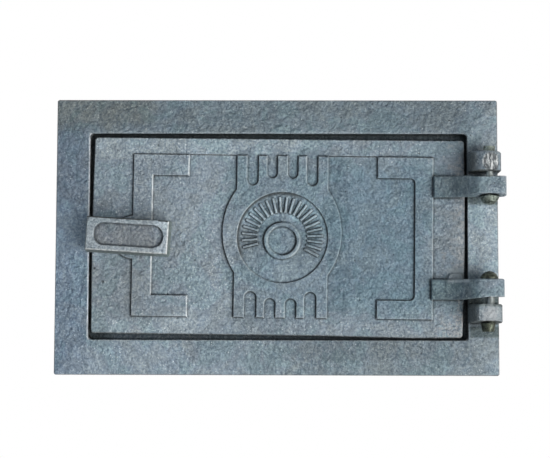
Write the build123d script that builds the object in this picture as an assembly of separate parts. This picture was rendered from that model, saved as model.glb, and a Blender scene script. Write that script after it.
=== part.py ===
from build123d import *
import math
import os

# Ash pit door for a masonry stove, in millimetres, +Z up, the front facing -Y.
# The origin is the centre of the flange's back face, the plane that lies on the brickwork.
# A level is a distance in front of that plane, so a point at level h has y = -h.

# How far a cutter runs past what it cuts, or a piece into the one that carries it
overrun = 1.0

# Opening for the leaf, and the flange around it
opening_width = 252.0
opening_height = 137.7
opening_shift_x = 0.85
opening_corner_radius = 2.5
rail_width = 22.0
rail_height = 23.4
flange_edge_level = 4.2
flange_rim_level = 9.8
flange_corner_radius = 1.5
rim_chamfer = 0.6
flange_width = opening_width + 2 * rail_width
flange_height = opening_height + 2 * rail_height
opening_left = opening_shift_x - opening_width / 2
opening_right = opening_shift_x + opening_width / 2

# Landing that the leaf closes on, and the collar that goes into the brickwork
landing_level = 2.5
landing_width = 7.5
landing_thickness = 4.5
landing_back_level = landing_level - landing_thickness
collar_inset = 0.25
collar_wall = 4.5
collar_depth = 40.0
collar_corner_radius = 6.0
collar_draft_angle = 0.5
collar_width = opening_width - 2 * collar_inset
collar_height = opening_height - 2 * collar_inset

# Lugs at the collar's rear end for the tie wires
wire_lug_reach = 14.0
wire_lug_height = 16.0
wire_lug_thickness = 4.0
wire_lug_setback = 5.0
wire_lug_inset_z = 18.6
wire_lug_end_radius = 6.0
wire_hole_offset = 7.0
wire_hole_diameter = 6.0

# Leaf panel, hung a little out of square as in the photograph
leaf_side_gap = 2.4
leaf_end_gap = 3.15
leaf_landing_gap = 0.5
leaf_thickness = 5.0
leaf_shift_x = -0.25
leaf_shift_z = -0.2
leaf_lean_angle = 0.62
leaf_corner_radius = 2.4
leaf_corner_trim = 0.3
leaf_corner_spread = 0.35
leaf_left_bow = 0.35
leaf_right_bow = 1.1
leaf_right_bow_z = 12.0
leaf_sag = 0.8
leaf_sag_x = 90.0
leaf_sag_start_x = 35.0
leaf_edge_bevel = 0.6
leaf_width = opening_width - 2 * leaf_side_gap
leaf_height = opening_height - 2 * leaf_end_gap
leaf_centre_x = opening_shift_x + leaf_shift_x
leaf_back_level = landing_level + leaf_landing_gap
leaf_front_level = leaf_back_level + leaf_thickness

# Relief on the leaf, in the leaf's own frame
relief_height = 1.5
relief_draft_angle = 28.0
relief_left_margin = 26.3
relief_right_margin = 19.8
relief_top_margin = 11.0
relief_bottom_margin = 11.3
relief_level = leaf_front_level + relief_height
relief_left = -leaf_width / 2 + relief_left_margin
relief_right = leaf_width / 2 - relief_right_margin
relief_top = leaf_height / 2 - relief_top_margin
relief_bottom = -leaf_height / 2 + relief_bottom_margin
bracket_reach = 38.1
left_bracket_bar = 13.95
left_bracket_arm = 15.0
right_bracket_bar = 13.0
right_bracket_top_arm = 15.2
right_bracket_bottom_arm = 13.4
right_bracket_inner_radius = 2.7
scribe_width = 0.7
scribe_depth = 0.4

# Strap figure in the middle of the leaf
figure_x = 2.8
figure_half_width = 31.0
figure_foot_step = 1.1
figure_belly = 9.2
figure_belly_z = 2.8
figure_shoulder = 28.8
belly_radius = (figure_shoulder ** 2 + figure_belly ** 2) / (2 * figure_belly)
slot_outer_offset = 19.9
slot_inner_offset = 6.9
top_slot_outer_width = 6.6
top_slot_inner_width = 6.0
top_slot_outer_length = 20.1
top_slot_inner_length = 15.2
bottom_slot_shift = -0.65
bottom_slot_outer_width = 7.2
bottom_slot_inner_width = 6.6
bottom_slot_outer_length = 17.3
bottom_slot_inner_length = 12.8

# Medallion, its ring and its radial ribs
medallion_x = 3.1
medallion_z = -0.5
medallion_radius = 30.6
medallion_depth = 1.0
medallion_floor_level = relief_level - medallion_depth
ring_x = 2.8
ring_z = -2.6
ring_outer_radius = 13.0
ring_inner_radius = 10.2
ring_height = 1.7
ring_draft_angle = 35.0
ring_level = medallion_floor_level + ring_height
rib_count = 23
rib_first_angle = 195.0
rib_last_angle = -27.0
rib_inner_radius = 16.4
rib_length = 10.8
rib_width = 1.9
rib_height = 1.3
rib_draft_angle = 15.0
root_depth = 0.2

# Round pad on the leaf that the handle turns on
pivot_inset = 29.75
pivot_x = opening_left + pivot_inset
pivot_z = -0.75
pad_radius = 15.1
pad_level = relief_level

# Hinge straps and knuckles, the knuckles just clear of the rail as they swing
pin_diameter = 5.0
hinge_offset = 13.75
hinge_swing_gap = 0.88
upper_knuckle_reach = 11.2
lower_knuckle_reach = 9.3
knuckle_thickness = 13.0
hinge_x = opening_right + hinge_offset
rail_fall = (flange_rim_level - flange_edge_level) / (rail_width - opening_shift_x)
hinge_level = flange_rim_level - rail_fall * hinge_offset + upper_knuckle_reach + hinge_swing_gap
strap_height = 4.5
strap_end_draft = 1.6
strap_edge_bevel = 0.7
strap_ramp_start = 25.1
strap_ramp_end = 8.1
strap_bend_radius = 11.0
strap_neck_overhang = 1.0
strap_neck_slope = 1.6
upper_strap_length = 37.2
lower_strap_length = 39.2
upper_strap_inset = 35.75
upper_strap_width = 14.0
lower_strap_inset = 33.55
lower_strap_width = 13.4
knuckle_draft_angle = 10.0
lower_knuckle_rise = 1.7
lower_knuckle_cut = 16.6
upper_strap_z = opening_height / 2 - upper_strap_inset
lower_strap_z = lower_strap_inset - opening_height / 2
strap_level = leaf_front_level + strap_height
knuckle_back_level = hinge_level - knuckle_thickness / 2
knuckle_front_level = hinge_level + knuckle_thickness / 2
knuckle_draft_level = hinge_level - pin_diameter / 2
upper_strap_bottom = upper_strap_z - upper_strap_width / 2
upper_strap_top = upper_strap_z + upper_strap_width / 2
lower_strap_bottom = lower_strap_z - lower_strap_width / 2
lower_strap_top = lower_strap_z + lower_strap_width / 2

# Lump of metal left above the lower strap
lump_offset = 21.8
lump_length = 11.0
lump_rise = 4.8
lump_corner_radius = 3.7
lump_height = 1.6
lump_draft_angle = 30.0

# Hinge lugs on the frame
lug_radius = 10.6
lug_shift_x = 2.5
lug_shift_level = 2.9
lug_foot_rise = 1.0
lug_edge_bevel = 0.8
lug_foot_level = flange_rim_level + lug_foot_rise
lug_root_level = flange_edge_level / 2
upper_lug_gap = 2.4
upper_lug_height = 13.1
lower_lug_gap = 3.1
lower_lug_height = 12.4
upper_lug_bottom = upper_strap_top + upper_lug_gap
lower_lug_bottom = lower_strap_bottom - lower_lug_gap - lower_lug_height

# Rivets with domed heads and peened tails
pin_running_clearance = 0.08
pin_seat_clearance = 0.03
head_gap = 0.05
upper_head_diameter = 12.4
upper_head_height = 5.8
lower_head_diameter = 11.6
lower_head_height = 5.2
lower_head_shift = 0.6
head_rim_height = 1.1
head_facet_count = 3
upper_tail_diameter = 8.0
upper_tail_end_diameter = 7.4
upper_tail_height = 3.6
lower_tail_diameter = 9.8
lower_tail_end_diameter = 7.6
lower_tail_height = 5.6
lower_tail_shift = 1.6

# Turn handle
handle_lean_angle = 3.45
handle_long_arm = 29.8
handle_short_arm = 24.1
handle_height = 21.8
handle_thickness = 12.0
handle_pad_gap = 0.3
handle_rail_gap = 2.5
handle_hub_diameter = 19.0
handle_draft_angle = 5.6
handle_corner_bevel = 1.0
handle_edge_bevel = 0.5
handle_hub_level = pad_level + handle_pad_gap
handle_back_level = flange_rim_level + handle_rail_gap
handle_front_level = handle_back_level + handle_thickness
pocket_depth = 2.2
pocket_left_rim = 4.6
pocket_right_rim = 2.8
pocket_top_rim = 2.9
pocket_bottom_rim = 3.2
pocket_left_radius = 7.0
pocket_draft_angle = 20.0

# Shank through the leaf, with a square that carries the tongue
shank_diameter = 10.0
shank_running_clearance = 0.1
square_side = 7.0
square_clearance = 0.05
peen_diameter = 9.0
peen_height = 1.6
peen_bevel = 1.1

# Tongue behind the leaf, standing up when the handle lies level
tongue_hub_diameter = 18.0
tongue_hub_gap = 0.3
tongue_keeper_gap = 0.7
tongue_arm_thickness = 6.4
tongue_arm_width = 13.0
tongue_tip_gap = 2.0
tongue_tip_radius = 5.0
tongue_front_level = leaf_back_level - tongue_hub_gap
tongue_arm_front_level = landing_back_level - tongue_keeper_gap
tongue_back_level = tongue_arm_front_level - tongue_arm_thickness
tongue_arm_length = pivot_inset - collar_inset - collar_wall - tongue_tip_gap

# Keeper on the landing that the tongue goes behind
keeper_reach = 5.75
keeper_height = 22.0
keeper_lead = 1.2


def at_level(level):
    return Plane.XZ.offset(level)


def slab(sketch, low, high, draft=0.0):
    """A sketch in X and Z made solid from one level up to a higher one."""
    return extrude(at_level(low) * sketch, amount=high - low, taper=draft)


def sinking(sketch, level, depth, draft):
    """A cutter that starts at a level and narrows as it goes in."""
    return extrude(at_level(level) * sketch, amount=-depth, taper=draft)


def rectangle(left, right, bottom, top):
    """A rectangle between four sides."""
    centre = Pos((left + right) / 2, (bottom + top) / 2)
    return centre * Rectangle(right - left, top - bottom)


def disc(radius, x, z):
    return Pos(x, z) * Circle(radius)


def on_hinge(z):
    """The place on the hinge axis at a height."""
    return Pos(hinge_x, -hinge_level, z)


def standing_cylinder(diameter, height):
    return Cylinder(diameter / 2, height, align=(Align.CENTER, Align.CENTER, Align.MIN))


def hinge_bore(clearance, bottom, height):
    """The hole for a rivet through a knuckle or lug, cut past both its ends."""
    bore = standing_cylinder(pin_diameter + 2 * clearance, height + 2 * overrun)
    return on_hinge(bottom - overrun) * bore


# The frame

def flange():
    """A plate whose rails rise from a thin outer edge to the rim, mitred at the corners."""
    plate = slab(Rectangle(flange_width, flange_height), 0, flange_edge_level)
    foot = at_level(flange_edge_level) * Rectangle(flange_width, flange_height)
    rim = at_level(flange_rim_level) * Pos(opening_shift_x, 0) * Rectangle(opening_width, opening_height)
    rails = loft([foot.face(), rim.face()], ruled=True)
    outline = RectangleRounded(flange_width, flange_height, flange_corner_radius)
    return (plate + rails) & slab(outline, 0, flange_rim_level)


def collar():
    """The box behind the flange that stands in the brickwork, drafted towards its rear."""
    outline = Pos(opening_shift_x, 0) * RectangleRounded(collar_width, collar_height, collar_corner_radius)
    return sinking(outline, 0, collar_depth, collar_draft_angle) + slab(outline, 0, landing_level)


def opening_sketch(inset, radius):
    """The opening's outline, taken in by a distance."""
    shape = RectangleRounded(opening_width - 2 * inset, opening_height - 2 * inset, radius)
    return Pos(opening_shift_x, 0) * shape


def way_through():
    """What is cut from the frame: the recess, the way past the landing and the collar's inside."""
    recess = slab(opening_sketch(0, opening_corner_radius), landing_level, flange_rim_level + overrun)
    mouth = opening_sketch(-rim_chamfer, opening_corner_radius)
    recess += sinking(mouth, flange_rim_level, rim_chamfer, 45.0)
    past_landing = opening_sketch(landing_width, opening_corner_radius)
    recess += slab(past_landing, landing_back_level - overrun, landing_level + overrun)
    inside = opening_sketch(collar_inset + collar_wall, collar_corner_radius - collar_wall)
    return recess + slab(inside, -collar_depth - overrun, landing_back_level)


def keeper():
    """A lug on the landing's left side, chamfered behind where the tongue runs on to it."""
    left = opening_left + landing_width
    low, high = pivot_z - keeper_height / 2, pivot_z + keeper_height / 2
    shape = rectangle(left - overrun, left + keeper_reach, low, high)
    lug = slab(shape, landing_back_level, landing_level)
    rear_edges = lug.edges().filter_by(Axis.X).group_by(Axis.Y)[-1]
    return chamfer(rear_edges, keeper_lead)


def wire_lug(side, z):
    """A flat lug on the collar's side with a hole for a tie wire."""
    rear = -collar_depth + wire_lug_setback
    front = rear + wire_lug_thickness
    wall = collar_width / 2 - collar_wall / 2
    tab = rectangle(wall, collar_width / 2 + wire_lug_reach, -wire_lug_height / 2, wire_lug_height / 2)
    tab = fillet(tab.vertices().group_by(Axis.X)[-1], wire_lug_end_radius)
    tab -= disc(wire_hole_diameter / 2, collar_width / 2 + wire_hole_offset, 0)
    lug = slab(tab, rear, front)
    if side < 0:
        lug = mirror(lug, Plane.YZ)
    return Pos(opening_shift_x, 0, z) * lug


def wire_lugs():
    reach_z = collar_height / 2 - wire_lug_inset_z
    return [wire_lug(side, z) for side in (-1, 1) for z in (-reach_z, reach_z)]


def lug_profile():
    """A hinge lug from above: a broad round over the rivet, with flanks down to its foot on the rail."""
    centre_x = hinge_x - lug_shift_x
    eye = Pos(centre_x, lug_shift_level - hinge_level) * Circle(lug_radius)
    foot = rectangle(opening_right, centre_x + lug_radius, -lug_foot_level, -lug_root_level)
    return make_hull([*eye.edges(), *foot.edges()])


def drafted_front(bottom, top):
    """The room between two heights that a pattern leaves: full behind the rivet, drafted before it."""
    band = rectangle(0, flange_width, bottom, top)
    rear = slab(band, 0, knuckle_draft_level)
    return rear + slab(band, knuckle_draft_level, handle_front_level, knuckle_draft_angle)


def hinge_lug(bottom, height):
    lug = extrude(Plane.XY.offset(bottom) * lug_profile(), amount=height)
    ends = lug.edges().group_by(Axis.Z)
    lug = chamfer(ends[0] + ends[-1], lug_edge_bevel)
    return lug - hinge_bore(pin_seat_clearance, bottom, height)


def lower_hinge_lug():
    """The lower lug, drafted along its underside only."""
    lug = hinge_lug(lower_lug_bottom, lower_lug_height)
    return lug & drafted_front(lower_lug_bottom, lower_lug_bottom + 2 * lower_lug_height)


def frame():
    """The one casting that is built into the wall."""
    body = flange() + collar() - way_through() + keeper()
    for lug in wire_lugs():
        body += lug
    body += hinge_lug(upper_lug_bottom, upper_lug_height)
    return body + lower_hinge_lug()


# The door leaf

def leaned(shape):
    """Leans a shape from the leaf's own frame into the opening."""
    return Pos(leaf_centre_x, 0, leaf_shift_z) * Rot(0, leaf_lean_angle, 0) * shape


def leaf_outline():
    """The panel as cast: its sides a little bowed, its lower edge sagging, one corner spread."""
    side, end = leaf_width / 2, leaf_height / 2
    upper_left = (leaf_corner_trim - side, end - leaf_corner_trim)
    upper_right = (side + leaf_corner_spread, end + leaf_corner_spread)
    lower_right = (side - leaf_corner_trim, -end)
    lower_left = (leaf_corner_trim - side, -end)
    line = Line(upper_left, upper_right)
    line += ThreePointArc(upper_right, (side + leaf_right_bow, leaf_right_bow_z), lower_right)
    line += Polyline(lower_right, (leaf_sag_x, -end - leaf_sag), (leaf_sag_start_x, -end), lower_left)
    line += ThreePointArc(lower_left, (-side - leaf_left_bow, 0), upper_left)
    face = make_face(line)
    corners = [face.vertices().sort_by_distance((*point, 0))[0]
               for point in (upper_left, upper_right, lower_right, lower_left)]
    return fillet(corners, leaf_corner_radius)


def panel():
    plate = slab(leaf_outline(), leaf_back_level, leaf_front_level)
    return chamfer(plate.edges().group_by(Axis.Y)[0], leaf_edge_bevel)


def left_bracket():
    reach = relief_left + bracket_reach
    inner = relief_left + left_bracket_bar
    whole = rectangle(relief_left, reach, relief_bottom, relief_top)
    return whole - rectangle(inner, reach, relief_bottom + left_bracket_arm, relief_top - left_bracket_arm)


def right_bracket():
    reach = relief_right - bracket_reach
    inner = relief_right - right_bracket_bar
    whole = rectangle(reach, relief_right, relief_bottom, relief_top)
    low = relief_bottom + right_bracket_bottom_arm
    high = relief_top - right_bracket_top_arm
    gap = rectangle(reach, inner, low, high)
    return whole - fillet(gap.vertices().group_by(Axis.X)[-1], right_bracket_inner_radius)


def slot(x, width, length, edge, inward):
    """A slot from just past the figure's top or bottom edge to its own round end."""
    start = edge - inward * overrun
    centre_z = edge + inward * (length - width / 2)
    run = rectangle(x - width / 2, x + width / 2, min(start, centre_z), max(start, centre_z))
    return run + disc(width / 2, x, centre_z)


def slots():
    """The slots cut into the figure from both its ends."""
    for side in (-1, 1):
        outer, inner = figure_x + side * slot_outer_offset, figure_x + side * slot_inner_offset
        yield slot(outer, top_slot_outer_width, top_slot_outer_length, relief_top, -1)
        yield slot(inner, top_slot_inner_width, top_slot_inner_length, relief_top, -1)
        outer, inner = outer + bottom_slot_shift, inner + bottom_slot_shift
        yield slot(outer, bottom_slot_outer_width, bottom_slot_outer_length, relief_bottom, 1)
        yield slot(inner, bottom_slot_inner_width, bottom_slot_inner_length, relief_bottom, 1)


def figure():
    """The strap figure: an upper strap, a wider lower one and the round belly between them."""
    left, right = figure_x - figure_half_width, figure_x + figure_half_width
    upper = rectangle(left, right, figure_belly_z, relief_top)
    lower = rectangle(left - figure_foot_step, right, relief_bottom, figure_belly_z)
    centre = belly_radius - figure_half_width - figure_belly
    left_round = disc(belly_radius, figure_x + centre, figure_belly_z)
    right_round = disc(belly_radius, figure_x - centre, figure_belly_z)
    return upper, lower, left_round & right_round


def raised(shape):
    """A shape raised from the panel, drafted like the pattern it was moulded from."""
    return slab(shape, leaf_front_level, relief_level, relief_draft_angle)


def slotted_figure():
    upper, lower, belly = [raised(shape) for shape in figure()]
    body = upper + lower + belly
    for shape in slots():
        body -= slab(shape, leaf_front_level, relief_level + overrun, -relief_draft_angle)
    return body


def ring():
    """The raised ring at the medallion's centre."""
    foot = medallion_floor_level - root_depth
    rise = ring_level - foot
    solid = slab(disc(ring_outer_radius, ring_x, ring_z), foot, ring_level, ring_draft_angle)
    return solid - sinking(disc(ring_inner_radius, ring_x, ring_z), ring_level, rise, ring_draft_angle)


def ribs():
    """Radial ribs in the medallion's band."""
    step = (rib_last_angle - rib_first_angle) / (rib_count - 1)
    centre = Pos(medallion_x, medallion_z)
    bars = []
    for index in range(rib_count):
        turn = Rot(0, 0, rib_first_angle + index * step)
        bar = centre * turn * Pos(rib_inner_radius + rib_length / 2, 0) * Rectangle(rib_length, rib_width)
        foot = medallion_floor_level - root_depth
        bars.append(slab(bar, foot, medallion_floor_level + rib_height, rib_draft_angle))
    return bars


def scribed_line():
    """The shallow line that joins the tops of the brackets and the figure."""
    low = relief_top - scribe_width
    first = rectangle(relief_left + bracket_reach, figure_x - figure_half_width, low, relief_top)
    second = rectangle(figure_x + figure_half_width, relief_right - bracket_reach, low, relief_top)
    floor = leaf_front_level - scribe_depth
    return [slab(run, floor, leaf_front_level + overrun) for run in (first, second)]


def strap_profile(length, reach):
    """A hinge strap from above: flat on the leaf, ramped up to a knuckle with a round end."""
    left = hinge_x - length
    round_x = hinge_x + reach - knuckle_thickness / 2
    ramp = ((hinge_x - strap_ramp_start, -strap_level), (hinge_x - strap_ramp_end, -knuckle_front_level))
    neck_x = leaf_centre_x + leaf_width / 2 + strap_neck_overhang
    root = -leaf_front_level + root_depth
    line = Polyline((left, root), (left + strap_end_draft, -strap_level), *ramp,
                    (round_x, -knuckle_front_level))
    line += ThreePointArc((round_x, -knuckle_front_level), (hinge_x + reach, -hinge_level),
                          (round_x, -knuckle_back_level))
    line += Polyline((round_x, -knuckle_back_level), (neck_x, -knuckle_back_level),
                     (neck_x - strap_neck_slope, root), (left, root))
    face = make_face(line)
    bends = [face.vertices().sort_by_distance((*point, 0))[0] for point in ramp]
    return fillet(bends, strap_bend_radius)


def strap(length, reach, bottom, width):
    """One hinge strap with its front edges bevelled, bored for its rivet."""
    body = extrude(Plane.XY.offset(bottom) * strap_profile(length, reach), amount=width)
    level_edges = [edge for edge in body.edges() if edge.bounding_box().size.Z < width / 2]
    front = [edge for edge in level_edges if edge.center().Y < -strap_level + strap_edge_bevel / 2]
    body = chamfer(front, strap_edge_bevel)
    return body - hinge_bore(pin_running_clearance, bottom, width)


def upper_strap():
    """The upper strap, drafted above and below from the rivet forward."""
    body = strap(upper_strap_length, upper_knuckle_reach, upper_strap_bottom, upper_strap_width)
    return body & drafted_front(upper_strap_bottom, upper_strap_top)


def lower_strap():
    """The lower strap, whose knuckle is cut back a little along its underside."""
    body = strap(lower_strap_length, lower_knuckle_reach, lower_strap_bottom, lower_strap_width)
    start = hinge_x - lower_knuckle_cut
    end = hinge_x + lower_knuckle_reach + overrun
    low, high = lower_strap_bottom, lower_strap_bottom + lower_knuckle_rise
    under = low - overrun
    wedge = Polyline((start, low), (hinge_x, high), (end, high), (end, under), (start, under), (start, low))
    return body - slab(make_face(wedge), knuckle_back_level - overrun, knuckle_front_level + overrun)


def lump():
    """A lump of metal left on the leaf in the corner above the lower strap."""
    shape = RectangleRounded(lump_length, 2 * lump_rise, lump_corner_radius)
    place = Pos(hinge_x - lump_offset, lower_strap_top)
    top = leaf_front_level + lump_height
    return slab(place * shape, leaf_front_level - root_depth, top, lump_draft_angle)


def handle_pad():
    """The round pad, level with the bracket that it runs into."""
    shape = disc(pad_radius, pivot_x, pivot_z)
    return slab(shape, leaf_front_level - root_depth, pad_level, relief_draft_angle)


def door_leaf():
    """The one casting that swings, with its relief, pad and straps."""
    body = panel()
    for groove in scribed_line():
        body -= groove
    body += raised(left_bracket())
    body += raised(right_bracket())
    body += slotted_figure()
    medallion = disc(medallion_radius, medallion_x, medallion_z)
    body -= sinking(medallion, relief_level, medallion_depth, relief_draft_angle)
    body += ring()
    for bar in ribs():
        body += bar
    body = leaned(body) + handle_pad() + upper_strap() + lower_strap() + lump()
    hole = disc(shank_diameter / 2 + shank_running_clearance, pivot_x, pivot_z)
    return body - slab(hole, leaf_back_level - overrun, pad_level + overrun)


# The rivets

def domed_head(diameter, height):
    """A hammered rivet head turned about its axis: a low rim, then facets up to the crown."""
    rise = height - head_rim_height
    radius = ((diameter / 2) ** 2 + rise ** 2) / (2 * rise)
    half = math.asin(diameter / 2 / radius)
    outline = [(0, height), (0, 0), (diameter / 2, 0)]
    for index in range(head_facet_count):
        turn = half * (1 - index / head_facet_count)
        outline.append((radius * math.sin(turn), height - radius + radius * math.cos(turn)))
    return revolve(Plane.XZ * make_face(Polyline(*outline, close=True)), Axis.Z)


def tail(diameter, end_diameter, height):
    """A peened tail, narrower towards its end, its seat at z = 0."""
    return Cone(diameter / 2, end_diameter / 2, height, align=(Align.CENTER, Align.CENTER, Align.MIN))


def upper_hinge_pin():
    """Head below the strap, which hangs on it, and tail peened over the frame's upper lug."""
    seat = upper_strap_bottom - head_gap
    top = upper_lug_bottom + upper_lug_height + head_gap
    body = on_hinge(seat - overrun) * standing_cylinder(pin_diameter, top - seat + 2 * overrun)
    body += on_hinge(seat) * Rot(180, 0, 0) * domed_head(upper_head_diameter, upper_head_height)
    return body + on_hinge(top) * tail(upper_tail_diameter, upper_tail_end_diameter, upper_tail_height)


def lower_hinge_pin():
    """Head on top of the lower strap, tail peened over below the frame's lower lug."""
    seat = lower_strap_top + head_gap
    bottom = lower_lug_bottom - head_gap
    body = on_hinge(bottom - overrun) * standing_cylinder(pin_diameter, seat - bottom + 2 * overrun)
    head = domed_head(lower_head_diameter, lower_head_height)
    body += Pos(-lower_head_shift, 0, 0) * on_hinge(seat) * head
    stub = Rot(180, 0, 0) * tail(lower_tail_diameter, lower_tail_end_diameter, lower_tail_height)
    return body + Pos(-lower_tail_shift, 0, 0) * on_hinge(bottom) * stub


# The latch

def at_pivot(shape):
    """Leans a shape about the pivot as the handle stands in the photograph."""
    return Pos(pivot_x, 0, pivot_z) * Rot(0, handle_lean_angle, 0) * shape


def handle_bar():
    """The bar, tapered so that it is widest at its back, on the hub that stands on the pad."""
    grow = handle_thickness * math.tan(math.radians(handle_draft_angle))
    half = handle_height / 2 + grow
    foot = rectangle(-handle_long_arm - grow, handle_short_arm + grow, -half, half)
    foot = chamfer(foot.vertices(), handle_corner_bevel)
    bar = slab(foot, handle_back_level, handle_front_level, handle_draft_angle)
    bar = chamfer(bar.edges().group_by(Axis.Y)[0], handle_edge_bevel)
    return bar + slab(Circle(handle_hub_diameter / 2), handle_hub_level, handle_back_level + overrun)


def pocket():
    """The sinking in the handle's face, half round at its right end."""
    left, right = -handle_long_arm + pocket_left_rim, handle_short_arm - pocket_right_rim
    low, high = -handle_height / 2 + pocket_bottom_rim, handle_height / 2 - pocket_top_rim
    shape = rectangle(left, right - (high - low) / 2, low, high)
    shape = fillet(shape.vertices().group_by(Axis.X)[0], pocket_left_radius)
    shape += disc((high - low) / 2, right - (high - low) / 2, (low + high) / 2)
    return sinking(shape, handle_front_level, pocket_depth, pocket_draft_angle)


def shank():
    """Round where it turns in the leaf, square where it drives the tongue, peened behind."""
    shoulder = tongue_front_level + head_gap
    peen_front = tongue_back_level - head_gap
    turned = slab(Circle(shank_diameter / 2), shoulder, handle_back_level + overrun)
    drive = slab(Rectangle(square_side, square_side), peen_front - peen_height / 2, shoulder + overrun)
    peen = slab(Circle(peen_diameter / 2), peen_front - peen_height, peen_front)
    return turned + drive + chamfer(peen.edges().group_by(Axis.Y)[-1], peen_bevel)


def latch_handle():
    return at_pivot(handle_bar() - pocket() + shank())


def latch_tongue():
    """The hub and its arm, which goes behind the keeper when the handle hangs down."""
    hub = slab(Circle(tongue_hub_diameter / 2), tongue_back_level, tongue_front_level)
    arm = rectangle(-tongue_arm_width / 2, tongue_arm_width / 2, 0, tongue_arm_length)
    arm = fillet(arm.vertices().group_by(Axis.Y)[-1], tongue_tip_radius)
    side = square_side + 2 * square_clearance
    eye = slab(Rectangle(side, side), tongue_back_level - overrun, tongue_front_level + overrun)
    return at_pivot(hub + slab(arm, tongue_back_level, tongue_arm_front_level) - eye)


def main():
    os.makedirs("parts", exist_ok=True)
    pieces = {
        "frame": frame(),
        "door_leaf": door_leaf(),
        "upper_hinge_pin": upper_hinge_pin(),
        "lower_hinge_pin": lower_hinge_pin(),
        "latch_handle": latch_handle(),
        "latch_tongue": latch_tongue(),
    }
    for name, piece in pieces.items():
        export_step(piece, f"parts/{name}.step")


main()
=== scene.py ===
"""Looks of the ash pit door: grey iron as cast, with dark steel rivets, lit from the lower right."""

import math

import bpy
from mathutils import Matrix, Vector

MM = 0.001

# The photograph's camera, fitted to the flange's outline in a picture of 550 by 458 pixels
PHOTO_WIDTH = 550
FOCAL_PIXELS = 1487.6
SENSOR_WIDTH = 36.0
NEAR_CLIP = 0.01
CAMERA_PLACE = (8.11 * MM, -996.62 * MM, -76.04 * MM)
CAMERA_PITCH = 4.681
CAMERA_YAW = 0.534
CAMERA_ROLL = -0.165

# The floor and the room
FLOOR_Z = -2.3
FLOOR_SIZE = 26.0
FLOOR_PAINT = (0.86, 0.86, 0.86, 1.0)
FLOOR_GLOW = 0.86
ROOM_COLOUR = (0.92, 0.96, 1.0, 1.0)
ROOM_STRENGTH = 0.12
WHITE = (1.0, 1.0, 1.0, 1.0)

# The iron's noises: cycles to a millimetre, octaves, roughness and distortion
GRAIN = (0.60, 3.0, 0.72, 0.0)
BLOTCHES = (0.16, 5.0, 0.72, 0.6)
CLOUDS = (0.026, 2.0, 0.5, 0.0)
HUES = (0.045, 3.0, 0.6, 0.8)
SPARKLE_GROUPS = (0.21, 2.0, 0.6, 0.0)
SWELLS = (0.22, 3.0, 0.6, 0.4)
SAND = (0.42, 5.0, 0.75, 0.0)
OUTLINES = (0.06, 4.0, 0.7, 0.0)
SPARKLE_CELLS = 0.60
PIT_CELLS = 0.11
PIT_SHIFT = (31, 7, 53)

# How the noises show: the range that counts, and what its two ends turn into where that isn't 0 and 1
GRAIN_RANGE = (0.36, 0.64)
DARK_BLOTCH_RANGE = (0.44, 0.62, 0.0, 0.50)
LIGHT_BLOTCH_RANGE = (0.46, 0.34, 0.0, 0.35)
CLOUD_RANGE = (0.35, 0.7, 0.0, 0.25)
WARM_RANGE = (0.46, 0.60)
COOL_RANGE = (0.50, 0.38)
SPARKLE_GROUP_RANGE = (0.45, 0.65)
SPARKLE_RANGE = (0.30, 0.10)
PIT_RANGE = (0.075, 0.02)
IRON_ROUGHNESS = (0.3, 0.7, 0.62, 0.44)

# Factors on the iron's tone
DARK_GRAIN = (0.64, 0.68, 0.72)
LIGHT_GRAIN = (1.48, 1.40, 1.29)
DARK_BLOTCH = (0.62, 0.62, 0.62)
LIGHT_BLOTCH = (1.50, 1.50, 1.50)
LIGHT_CLOUD = (1.3, 1.3, 1.3)
WARM = (1.03, 1.0, 0.95)
COOL = (0.96, 1.03, 1.00)

# How deep the iron's textures go, and how far its edges are rounded off
SWELL_DEPTH = 2.6 * MM
SAND_DEPTH = 1.1 * MM
GRAIN_DEPTH = 0.14 * MM
PIT_DEPTH = 0.5 * MM
IRON_ROUNDING = 0.85 * MM
STEEL_ROUNDING = 0.4 * MM

# How far a point looks round for a hollow, the root of a wall and an edge, and which openness counts
HOLLOW_REACH = 5.0 * MM
HOLLOW_RANGE = (0.20, 0.72, 0.92, 0.0)
ROOT_REACH = 1.8 * MM
ROOT_RANGE = (0.62, 0.96, 0.80, 0.0)
EDGE_REACH = 1.0 * MM
EDGE_RANGE = (0.95, 0.60)
EDGE_PATCHES = (0.3, 0.6, 0.4)

# What lies on the iron, with the painted shade and painted highlights laid among it, as linear colours
# painted glints of sparkle
SPARKLE_GLINT = (0.66, 0.71, 0.74, 1.0)
PIT_DIRT = (0.05, 0.055, 0.06, 1.0)
# casting scale with painted shade, in hollows and on walls facing up and left
CASTING_SCALE_AND_SHADE = (0.012, 0.015, 0.017, 1.0)
# dirt with painted shade along the roots of walls
ROOT_DIRT_AND_SHADE = (0.022, 0.028, 0.03, 1.0)
# dirt with painted shade at the feet of walls facing down
FOOT_DIRT_AND_SHADE = (0.03, 0.035, 0.035, 1.0)
SIDE_DIRT = (0.05, 0.055, 0.055, 1.0)
# dirt with painted shade on the lugs' left and lower sides
LUG_DIRT_AND_SHADE = (0.05, 0.055, 0.05, 1.0)
# dirt with painted shade on the handle's sides
HANDLE_DIRT_AND_SHADE = (0.09, 0.115, 0.105, 1.0)
# painted shadow line along the handle's top edge
HANDLE_TOP_EDGE_SHADOW = (0.03, 0.035, 0.033, 1.0)
MEDALLION_DIRT = (0.04, 0.048, 0.05, 1.0)
# soot with painted shade in the gap at the top and left
SOOT_AND_SHADE = (0.008, 0.013, 0.014, 1.0)
RUBBED_EDGE = (0.55, 0.60, 0.64, 1.0)
# wear with a painted highlight on relief edges facing right
RUBBED_RELIEF_AND_HIGHLIGHT = (0.74, 0.78, 0.80, 1.0)
# wear with a painted highlight on the handle's right and lower rim
HANDLE_WEAR_AND_HIGHLIGHT = (0.80, 0.83, 0.84, 1.0)
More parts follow.
